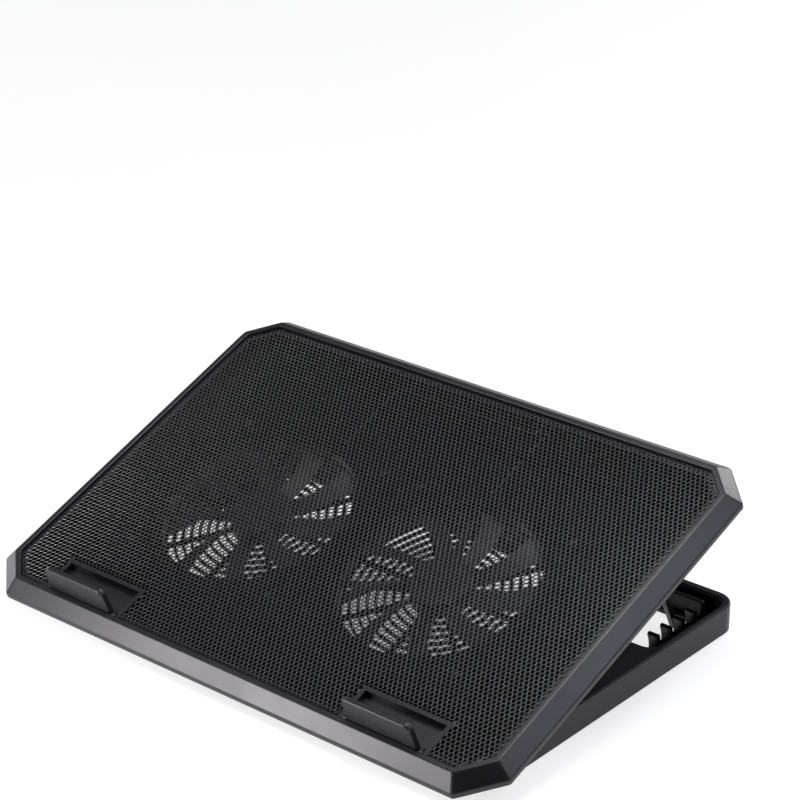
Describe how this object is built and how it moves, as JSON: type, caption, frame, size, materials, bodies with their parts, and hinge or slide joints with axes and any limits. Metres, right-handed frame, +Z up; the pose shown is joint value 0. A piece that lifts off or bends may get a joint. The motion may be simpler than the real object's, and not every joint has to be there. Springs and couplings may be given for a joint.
{
  "type": "laptop cooling pad",
  "caption": "Laptop cooling pad: cut-corner bezel with a mesh deck over two fans, folding laptop stops, and a ring base with a toothed prop.",
  "frame": {"origin": "on the desk, under the middle of the whole object's box at rest", "axes": "+X across, towards the right of someone typing; +Y to the rear; +Z up"},
  "size_m": [0.366, 0.244, 0.101],
  "materials": {
    "housing_plastic": "satin moulded, fine spark texture",
    "base_plastic": "satin moulded, fine spark texture",
    "tray_plastic": "satin moulded",
    "prop_plastic": "satin moulded",
    "stop_plastic": "satin moulded",
    "fan_plastic": "smooth moulded",
    "mesh_steel": "black powder coat",
    "pin_steel": "drawn wire",
    "screw_steel": "black zinc",
    "bearing_brass": "sintered sleeve",
    "coil_metal": "enamelled copper",
    "lead_sleeve": "smooth sleeve",
    "board_laminate": "solder mask",
    "inlet_metal": "nickel plated",
    "foot_rubber": "matt rubber"
  },
  "bodies": {
    "base": {"base_frame": "base_plastic", "foot_front_left": "foot_rubber", "foot_front_right": "foot_rubber", "foot_rear_left": "foot_rubber", "foot_rear_right": "foot_rubber", "hinge_pin_left": "pin_steel", "hinge_pin_right": "pin_steel"},
    "pad": {"top_bezel": "housing_plastic", "mesh_panel": "mesh_steel", "bottom_tray": "tray_plastic", "tray_screws": "screw_steel", "fan_screws": "screw_steel", "power_board": "board_laminate", "power_inlet": "inlet_metal", "stop_pin_left": "pin_steel", "stop_pin_right": "pin_steel", "fan_frame_left": "fan_plastic", "fan_bearing_left": "bearing_brass", "fan_coil_left": "coil_metal", "fan_lead_left": "lead_sleeve", "fan_frame_right": "fan_plastic", "fan_bearing_right": "bearing_brass", "fan_coil_right": "coil_metal", "fan_lead_right": "lead_sleeve"},
    "prop": {"prop_arm_left": "prop_plastic", "prop_arm_right": "prop_plastic", "prop_shaft": "pin_steel"},
    "fan_left": {"fan_rotor_left": "fan_plastic", "fan_shaft_left": "pin_steel"},
    "fan_right": {"fan_rotor_right": "fan_plastic", "fan_shaft_right": "pin_steel"},
    "stop_left": {"stop_left": "stop_plastic"},
    "stop_right": {"stop_right": "stop_plastic"}
  },
  "joints": [
    {"name": "pad_tilt", "type": "hinge", "parent": "base", "child": "pad", "pos_m": [0, -0.0942, 0.01189], "axis": [1, 0, 0], "range_deg": [-20.75, 0]},
    {"name": "prop_swing", "type": "hinge", "parent": "pad", "child": "prop", "pos_m": [0, 0.06303, 0.06825], "axis": [1, 0, 0], "range_deg": [-94.45, 0]},
    {"name": "fan_left_spin", "type": "hinge", "parent": "pad", "child": "fan_left", "pos_m": [-0.066, -0.01297, 0.04587], "axis": [0, -0.3543, 0.9351], "continuous": true},
    {"name": "fan_right_spin", "type": "hinge", "parent": "pad", "child": "fan_right", "pos_m": [0.066, -0.01297, 0.04587], "axis": [0, -0.3543, 0.9351], "continuous": true},
    {"name": "stop_left_fold", "type": "hinge", "parent": "pad", "child": "stop_left", "pos_m": [-0.1095, -0.11137, 0.01544], "axis": [1, 0, 0], "range_deg": [-90, 0]},
    {"name": "stop_right_fold", "type": "hinge", "parent": "pad", "child": "stop_right", "pos_m": [0.1095, -0.11137, 0.01544], "axis": [1, 0, 0], "range_deg": [-90, 0]}
  ],
  "couplings": [
    {"joint": "prop_swing", "follows": "pad_tilt", "ratio": 4.5518}
  ]
}
